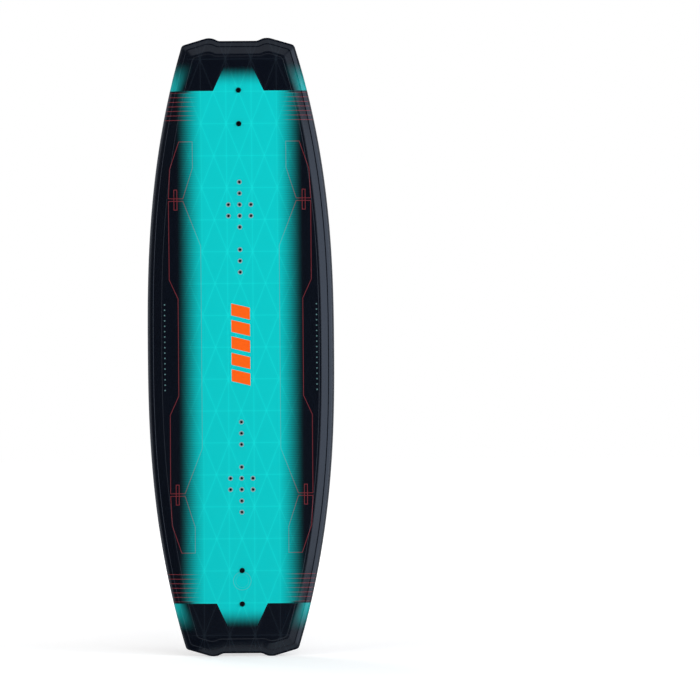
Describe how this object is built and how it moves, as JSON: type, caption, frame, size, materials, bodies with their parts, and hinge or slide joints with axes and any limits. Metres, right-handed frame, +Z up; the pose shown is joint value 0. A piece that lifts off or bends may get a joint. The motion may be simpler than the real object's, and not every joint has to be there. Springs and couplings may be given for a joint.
{
  "type": "wakeboard",
  "caption": "Twin-tip wakeboard with notched tips, a stepped deck bevel, a V base with moulded side fins, bolted centre fins and threaded binding inserts.",
  "frame": {"origin": "under the middle of the board's bounding box, on the floor that its tail stands on", "axes": "+Z up along the board's length, from tail to tip; the deck faces -Y and the base faces +Y; X runs across the width, +X on the right when the deck is seen"},
  "size_m": [0.422, 0.0708, 1.39],
  "materials": {
    "deck_print": "satin",
    "base_sheet": "gloss",
    "glass_laminate": "satin",
    "rail": "satin",
    "foam": "matte",
    "dense_block": "matte",
    "fin_filler": "matte",
    "insert_steel": "satin",
    "fin_plastic": "satin",
    "screw_steel": "satin",
    "washer_steel": "satin",
    "sleeve_aluminium": "satin",
    "nut_brass": "satin"
  },
  "bodies": {
    "root": {"deck_sheet": "deck_print", "upper_laminate": "glass_laminate", "base_sheet": "base_sheet", "lower_laminate": "glass_laminate", "rail_band": "rail", "foam_core": "foam", "side_fin_filler_front_left": "fin_filler", "side_fin_filler_front_right": "fin_filler", "insert_block_front": "dense_block", "fin_block_front": "dense_block", "binding_inserts_front": "insert_steel", "fin_sleeves_front": "sleeve_aluminium", "fin_screws_front": "screw_steel", "fin_washers_front": "washer_steel", "fin_nuts_front": "nut_brass", "centre_fin_front": "fin_plastic", "side_fin_filler_rear_left": "fin_filler", "side_fin_filler_rear_right": "fin_filler", "insert_block_rear": "dense_block", "fin_block_rear": "dense_block", "binding_inserts_rear": "insert_steel", "fin_sleeves_rear": "sleeve_aluminium", "fin_screws_rear": "screw_steel", "fin_washers_rear": "washer_steel", "fin_nuts_rear": "nut_brass", "centre_fin_rear": "fin_plastic"}
  },
  "joints": []
}
